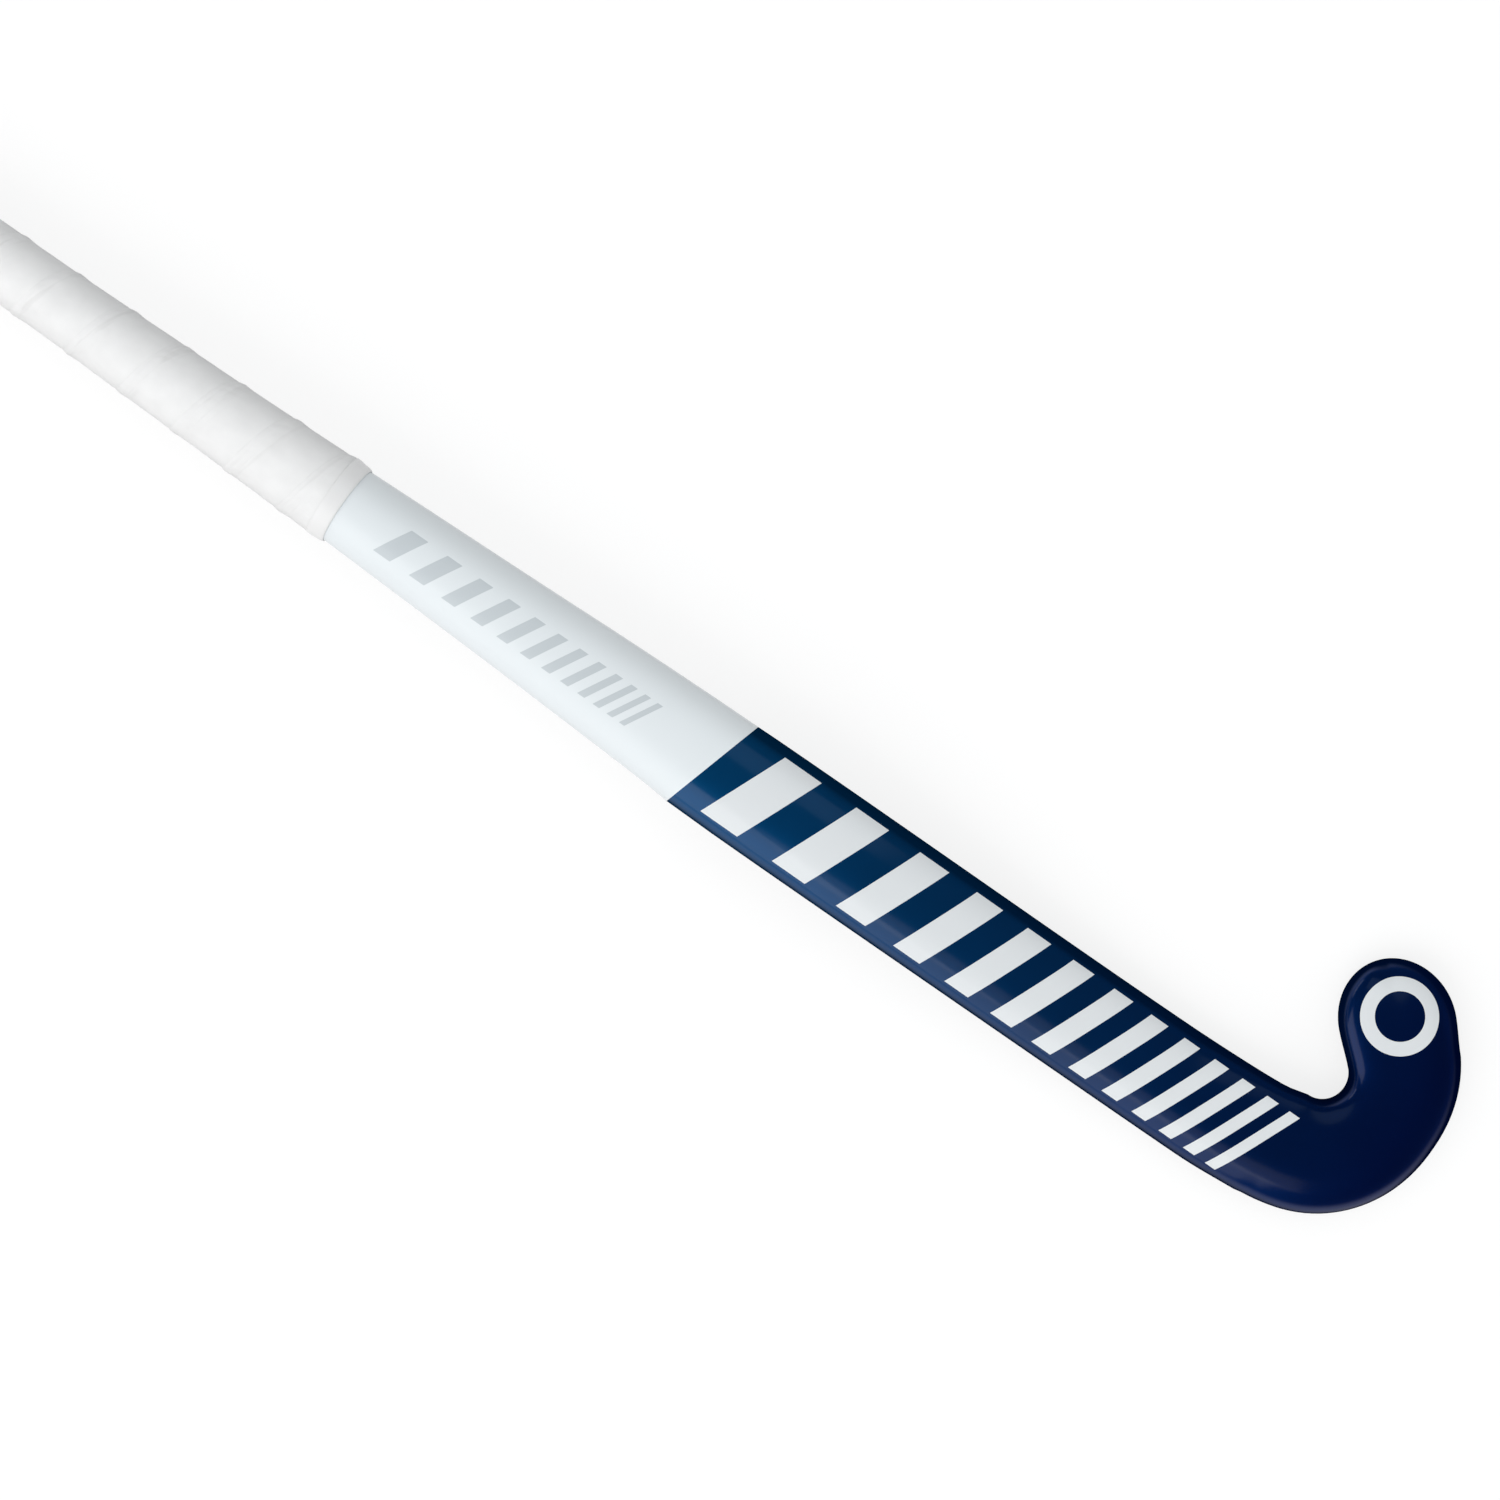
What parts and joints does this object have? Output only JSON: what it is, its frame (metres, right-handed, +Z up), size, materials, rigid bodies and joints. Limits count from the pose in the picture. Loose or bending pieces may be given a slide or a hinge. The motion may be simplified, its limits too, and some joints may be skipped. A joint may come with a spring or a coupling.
{
  "type": "indoor hockey stick",
  "caption": "Indoor hockey stick with a flat-faced, bent laminated head, a round back, a slim bowed shaft in white and navy lacquer, and a wound grip on the handle.",
  "frame": {"origin": "on the ground, under the middle of the stick's bounding box, with the stick lying on its flat playing face", "axes": "+X along the shaft from the butt to the head, +Y to the toe side, +Z up out of the rounded back"},
  "size_m": [0.889, 0.1154, 0.0425],
  "materials": {
    "mulberry": "bare, glued",
    "cane": "bare, glued",
    "black_rubber": "matte",
    "waxed_thread": "matte",
    "navy_lacquer": "glossy lacquer over glass fibre",
    "white_lacquer": "glossy lacquer over glass fibre",
    "white_rubber": "satin",
    "white_grip": "soft synthetic leather",
    "white_film": "satin film"
  },
  "bodies": {
    "root": {"head_strip_01": "mulberry", "head_strip_02": "mulberry", "head_strip_03": "mulberry", "head_strip_04": "mulberry", "head_strip_05": "mulberry", "head_strip_06": "mulberry", "head_strip_07": "mulberry", "head_strip_08": "mulberry", "head_strip_09": "mulberry", "head_strip_10": "mulberry", "handle_cane_1": "cane", "handle_cane_2": "cane", "handle_cane_3": "cane", "rubber_spring_1": "black_rubber", "rubber_spring_2": "black_rubber", "handle_binding": "waxed_thread", "head_sheath": "navy_lacquer", "shaft_sheath": "white_lacquer", "butt_cap": "white_rubber", "grip_tape": "white_grip", "grip_ring": "white_film"}
  },
  "joints": []
}
